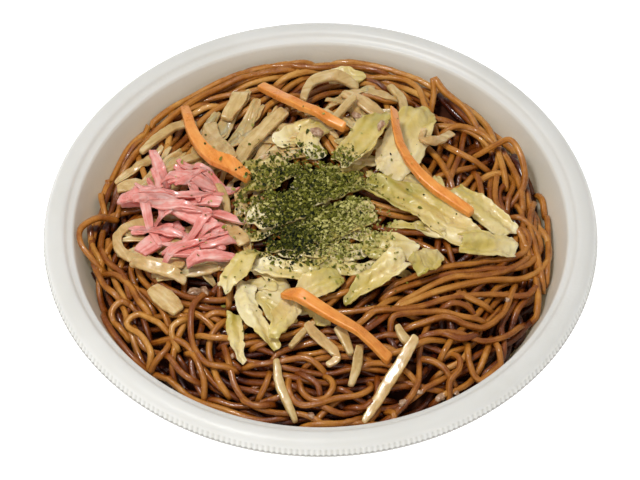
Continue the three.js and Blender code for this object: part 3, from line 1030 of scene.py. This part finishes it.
def lay_shred(rng, below, spot, heading, size, thickness, curve):
    """Rows of [left, middle, right] points along a limp strip that lies on what is below."""
    length, width = size
    count = 9
    rows = []
    for k in range(count):
        t = k / (count - 1) - 0.5
        a = heading + curve * t
        x = spot[0] + length * t * math.cos(heading + curve * t / 2)
        y = spot[1] + length * t * math.sin(heading + curve * t / 2)
        half = width / 2 * (1 - (2 * abs(t)) ** 4 * 0.55) * rng.uniform(0.85, 1.1)
        side = Vector((-math.sin(a), math.cos(a), 0))
        rows.append([Vector((x, y, 0)) + side * half * u for u in (-1, 0, 1)])
    heights = np.zeros((count, 3))
    for k, row in enumerate(rows):
        for m, p in enumerate(row):
            hit = below.ray_cast(Vector((p.x * MM, p.y * MM, SKY)), Vector((0, 0, -1)))[0]
            if hit is None or hit.z < 0.02 or p.length > 74:
                return None
            heights[k, m] = hit.z / MM
    tops = heights.max(axis=1)
    tops = np.array([tops[max(0, k - 1) : k + 2].max() for k in range(count)])
    tops[1:-1] = (tops[:-2] + 2 * tops[1:-1] + tops[2:]) / 4
    smooth = 0.8 * tops[:, None] + 0.2 * heights
    lift = thickness / 2 + rng.uniform(-0.2, 0.9)
    cup = rng.uniform(-0.3, 0.6)
    for k, row in enumerate(rows):
        for m, p in enumerate(row):
            p.z = smooth[k, m] + lift + (cup if m != 1 else 0) + rng.uniform(-0.2, 0.2)
    return rows


def add_shreds(name, below, material):
    """All the shreds of one kind, as one mesh."""
    slot, widths, lengths, thickness, patches = SHREDS[name]
    rng = random.Random(name)
    work = bmesh.new()
    grain_layer = work.verts.layers.float_vector.new("grain")
    shade_layer = work.verts.layers.float.new("shade")
    for x0, y0, spread_x, spread_y, heading, turn, number in patches:
        for _ in range(number):
            spot = (rng.gauss(x0, spread_x * 0.7), rng.gauss(y0, spread_y * 0.7))
            size = (rng.uniform(*lengths), rng.uniform(*widths))
            angle = math.radians(rng.gauss(heading, turn * 0.7))
            rows = lay_shred(rng, below, spot, angle, size, thickness, rng.uniform(-0.9, 0.9))
            if rows is None:
                continue
            tone, far = rng.uniform(0, 0.3), rng.uniform(0, 0.2)
            made = []
            for level in (thickness / 2, -thickness / 2):
                sheet = []
                for k, row in enumerate(rows):
                    line = [work.verts.new((p + Vector((0, 0, level))) * MM) for p in row]
                    for m, vertex in enumerate(line):
                        along, across = k / (len(rows) - 1) * size[0], (m - 1) / 2 * size[1]
                        vertex[grain_layer] = (along * MM, across * MM, far)
                        vertex[shade_layer] = tone
                    sheet.append(line)
                made.append(sheet)
            top, bottom = made
            last = len(rows) - 1
            for k in range(last):
                for sheet in made:
                    here, there = sheet[k], sheet[k + 1]
                    for m in (0, 1):
                        work.faces.new((here[m], there[m], there[m + 1], here[m + 1]))
                for m in (0, 2):
                    work.faces.new((top[k][m], bottom[k][m], bottom[k + 1][m], top[k + 1][m]))
            for k in (0, last):
                for m in (0, 1):
                    work.faces.new((top[k][m], top[k][m + 1], bottom[k][m + 1], bottom[k][m]))
    bmesh.ops.recalc_face_normals(work, faces=work.faces)
    mesh = bpy.data.meshes.new(name)
    work.to_mesh(mesh)
    work.free()
    piece = bpy.data.objects.new(name, mesh)
    bpy.context.scene.collection.objects.link(piece)
    subdivide(piece, 1, 1)
    points = points_of(piece.data) / MM
    crinkle(points, 0.35, 0.4, Vector((3.1, 0, 0)))
    piece.data.vertices.foreach_set("co", (points * MM).astype(np.float32).ravel())
    piece.data.update()
    piece.data.shade_smooth()
    piece.data.materials.append(material)
    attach(piece, "root")
    return piece


# ---------------------------------------------------------------- laver and meat

LAVER_PATCHES = [
    # x, y, spread across, spread along y, share of the flakes, tone
    (-7, 8, 9.5, 9.5, 0.46, 0.28),
    (-9, -9, 5.5, 4.5, 0.16, 0.10),
    (3, 14, 7.0, 6.5, 0.16, 0.42),
    (7, -4, 8.0, 8.0, 0.17, 0.62),
    (-6, 3, 22, 19, 0.05, 0.45),
]
LAVER_FLAKES = 12000


def add_flakes(below, material):
    """Flakes of dried green laver, each a small bent scale."""
    rng = random.Random(21)
    vertices, faces, tones = [], [], []
    for x0, y0, spread_x, spread_y, share, tone in LAVER_PATCHES:
        for _ in range(int(LAVER_FLAKES * share)):
            x, y = rng.gauss(x0, spread_x), rng.gauss(y0, spread_y)
            if math.hypot(x - x0, y - y0) > 2.3 * max(spread_x, spread_y):
                continue
            hit = below.ray_cast(Vector((x * MM, y * MM, SKY)), Vector((0, 0, -1)))
            if hit[0] is None or hit[0].z < 0.03:
                continue
            size = rng.choice((0.3, 0.4, 0.5, 0.6, 0.9)) * rng.uniform(0.7, 1.25)
            off_middle = ((x - x0) ** 2 + (y - y0) ** 2) / (2 * spread_x * spread_y)
            heap_up = abs(rng.gauss(0, 0.9)) * math.exp(-off_middle)
            centre = Vector((x, y, hit[0].z / MM + 0.25 + heap_up))
            normal = (hit[1] + Vector((rng.gauss(0, 0.5), rng.gauss(0, 0.5), 0.3))).normalized()
            turn = normal.to_track_quat("Z", "Y").to_matrix()
            turn = turn @ Matrix.Rotation(rng.uniform(0, 6.3), 3, "Z")
            corners = 5
            start = len(vertices)
            for c in range(corners):
                a = 2 * math.pi * c / corners
                reach = size * rng.uniform(0.55, 1.15)
                bent = rng.uniform(-0.12, 0.12)
                local = Vector((reach * math.cos(a), 0.7 * reach * math.sin(a), bent))
                vertices.append((centre + turn @ local) * MM)
            vertices.append((centre + turn @ Vector((0, 0, 0.10))) * MM)
            vertices.append((centre + turn @ Vector((0, 0, -0.06))) * MM)
            for c in range(corners):
                after = (c + 1) % corners
                faces.append((start + c, start + after, start + corners))
                faces.append((start + after, start + c, start + corners + 1))
            tones += [tone + rng.gauss(0, 0.22)] * (corners + 2)
    piece = new_piece("laver_flakes", vertices, faces, material, smooth=False)
    keep_values(piece, "tone", tones)
    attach(piece, "root")
    return piece


# Crumbs of meat: x, y and size in millimetres.
CRUMBS = [
    (-40, -25, 2.2), (-37, -27, 1.5), (-19, -28, 1.8), (-1, 33, 2.0), (20, 36, 1.7), (51, -25, 1.4),
    (60, -28, 0.9), (38, -62, 1.5), (43, -60, 1.0), (-58, -25, 1.0), (31, -62, 1.1), (-3, -71, 1.1),
    (26, -66, 1.3), (12, 45, 1.6), (-28, -50, 0.9),
]


def add_crumbs(below, material):
    """Small lumps of meat, as one mesh."""
    pile = bmesh.new()
    for index, (x, y, size) in enumerate(CRUMBS):
        hit = below.ray_cast(Vector((x * MM, y * MM, SKY)), Vector((0, 0, -1)))[0]
        made = bmesh.ops.create_icosphere(pile, subdivisions=3, radius=1.0)["verts"]
        seed = Vector((index * 3.7, 0, 0))
        for v in made:
            d = v.co.normalized()
            bulge = 1 + 0.45 * noise.noise(d * 1.3 + seed) + 0.22 * noise.noise(d * 4 + seed)
            v.co = Vector((d.x * 1.15, d.y * 0.8, d.z * 0.6)) * bulge * size * MM
            v.co.rotate(Matrix.Rotation(index * 1.9, 3, "Z"))
            v.co += Vector((x * MM, y * MM, hit.z + 0.1 * size * MM))
    mesh = bpy.data.meshes.new("meat_crumbs")
    pile.to_mesh(mesh)
    pile.free()
    mesh.shade_smooth()
    mesh.materials.append(material)
    piece = bpy.data.objects.new("meat_crumbs", mesh)
    bpy.context.scene.collection.objects.link(piece)
    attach(piece, "root")
    return piece


# ---------------------------------------------------------------- assembly

add_camera()
add_stage()

LOOKS = {
    "carrot": fibre_look(
        "carrot",
        ((0.66, 0.19, 0.022), (0.82, 0.30, 0.050), (0.90, 0.40, 0.090)),
        fibre=(90, 1300, 600),
        depth=0.0001,
        wet=0.15,
        soft=0.2,
    ),
    "ginger": fibre_look(
        "ginger",
        ((0.66, 0.16, 0.125), (0.86, 0.32, 0.27), (0.95, 0.56, 0.49)),
        fibre=(60, 1300, 500),
        depth=0.00018,
        wet=0.45,
        soft=0.4,
        glow=(1, 0.4, 0.35),
    ),
    "onion": fibre_look(
        "onion",
        ((0.46, 0.27, 0.085), (0.63, 0.42, 0.17), (0.78, 0.60, 0.33)),
        fibre=(50, 800, 500),
        depth=0.00012,
        wet=0.35,
        soft=0.5,
    ),
    "sprout": fibre_look(
        "sprout",
        ((0.42, 0.25, 0.075), (0.58, 0.40, 0.16), (0.70, 0.55, 0.29)),
        fibre=(60, 900, 500),
        depth=0.00015,
        wet=0.25,
        soft=0.4,
    ),
    "cabbage_stalk": fibre_look(
        "stalk",
        ((0.46, 0.27, 0.085), (0.62, 0.43, 0.17), (0.76, 0.59, 0.31)),
        fibre=(60, 900, 500),
        depth=0.0002,
        wet=0.3,
        soft=0.4,
    ),
    "cabbage": cabbage_look(),
}
bowl = add_bowl(foam_look())
core = add_noodles(noodle_look(), painted_shade_core_look())
toppings = [name for name in sorted(NODES) if name not in ("bowl", "noodles")]
pieces = [add_topping(name, LOOKS, index) for index, name in enumerate(toppings)]
strands = [bpy.data.objects[name] for name in ("noodles_under", "noodles_upper", "noodles_top")]
below = [*strands, core]
ground = tree_of(*below)
shreds = [
    add_shreds("onion_shreds", ground, LOOKS["onion"]),
    add_shreds("cabbage_shreds", ground, LOOKS["cabbage"]),
]
# The ginger's shreds also lie on its larger strips.
ginger = [piece for piece in pieces if piece.name.startswith("ginger")]
shreds.append(add_shreds("ginger_shreds", tree_of(*below, *shreds, *ginger), LOOKS["ginger"]))
surface = tree_of(*below, *shreds, *pieces, bowl)
add_flakes(surface, laver_look())
add_crumbs(surface, meat_look())
